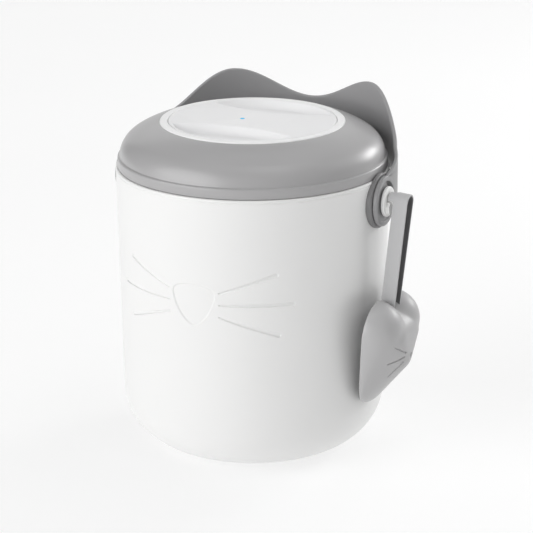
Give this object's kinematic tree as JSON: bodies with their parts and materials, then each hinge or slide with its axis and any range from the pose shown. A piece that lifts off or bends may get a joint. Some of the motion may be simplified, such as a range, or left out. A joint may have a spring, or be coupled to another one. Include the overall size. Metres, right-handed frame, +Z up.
{
  "type": "pet food bin",
  "caption": "Round lidded pet food bin with a vacuum lid, a swinging bail handle shaped like cat ears and a heart-shaped scoop on a strap.",
  "frame": {"origin": "centre of the base pad's underside, on the floor", "axes": "+Z up the tub's axis; -Y towards the engraved face; the scoop hangs on +X; the handle rests on +Y"},
  "size_m": [0.2777, 0.2394, 0.3017],
  "materials": {
    "bin_white": "satin moulded plastic",
    "lid_grey": "satin moulded plastic",
    "panel_white": "matte moulded plastic",
    "ring_white": "satin moulded plastic",
    "handle_grey": "satin moulded plastic",
    "boss_grey": "satin moulded plastic",
    "peg_white": "satin moulded plastic",
    "scoop_grey": "satin moulded plastic",
    "strap_grey": "matte silicone",
    "lining_dark": "matte silicone",
    "pad_dark": "matte rubber",
    "gasket_clear": "soft silicone",
    "brass": "knurled brass",
    "steel": "plated steel",
    "black_plastic": "matte black plastic",
    "cell_wrap": "shrink wrap",
    "board_green": "solder mask",
    "hose_clear": "soft silicone tube",
    "valve_orange": "silicone",
    "filter_white": "felt",
    "light_blue": "clear blue plastic"
  },
  "bodies": {
    "bin": {"bin_shell": "bin_white", "base_pad": "pad_dark", "pivot_boss_left": "boss_grey", "pivot_boss_right": "boss_grey", "pivot_inserts": "brass", "pivot_screws": "steel", "hub_cap": "peg_white"},
    "handle": {"handle": "handle_grey"},
    "lid": {"lid_shell": "lid_grey", "panel_ring": "ring_white", "inner_cover": "ring_white", "gasket": "gasket_clear", "cover_screws": "steel", "pump_motor": "steel", "pump_head": "black_plastic", "pump_bracket": "steel", "pump_hose": "hose_clear", "check_valve": "valve_orange", "filter_disc": "filter_white", "battery_cell": "cell_wrap", "battery_cradle": "black_plastic", "circuit_board": "board_green", "board_screws": "steel", "switch_body": "black_plastic", "light_source": "light_blue", "charge_socket": "steel", "panel_springs": "steel"},
    "panel": {"press_panel": "panel_white", "light_window": "light_blue"},
    "switch": {"switch_cap": "valve_orange"},
    "rotor": {"motor_rotor": "steel"},
    "flap": {"port_flap": "gasket_clear"},
    "peg": {"hanger_peg": "peg_white"},
    "scoop": {"strap_outer": "strap_grey", "strap_lining": "lining_dark", "scoop_bowl": "scoop_grey"}
  },
  "joints": [
    {"name": "handle_swing", "type": "hinge", "parent": "bin", "child": "handle", "pos_m": [0, 0, 0.2275], "axis": [1, 0, 0], "range_deg": [0, 180]},
    {"name": "lid_lift", "type": "slide", "parent": "bin", "child": "lid", "axis": [0, 0, 1], "range_m": [0, 0.15]},
    {"name": "panel_press", "type": "slide", "parent": "lid", "child": "panel", "axis": [0, 0, -1], "range_m": [0, 0.001], "stiffness_N_per_m": 2000, "springref_m": -0.002, "deforming": ["panel_springs"]},
    {"name": "switch_press", "type": "slide", "parent": "lid", "child": "switch", "axis": [0, 0, -1], "range_m": [0, 0.001]},
    {"name": "motor_spin", "type": "hinge", "parent": "lid", "child": "rotor", "pos_m": [0, 0.03, 0.257], "axis": [1, 0, 0], "continuous": true},
    {"name": "flap_hinge", "type": "hinge", "parent": "lid", "child": "flap", "pos_m": [0.084, 0, 0.23945], "axis": [0, -1, 0], "range_deg": [0, 90]},
    {"name": "peg_turn", "type": "hinge", "parent": "bin", "child": "peg", "pos_m": [0, 0, 0.2275], "axis": [1, 0, 0], "range_deg": [-25, 25]},
    {"name": "scoop_unhook", "type": "slide", "parent": "peg", "child": "scoop", "axis": [1, 0, 0], "range_m": [0, 0.05]}
  ],
  "couplings": [
    {"joint": "switch_press", "follows": "panel_press", "ratio": 1}
  ]
}
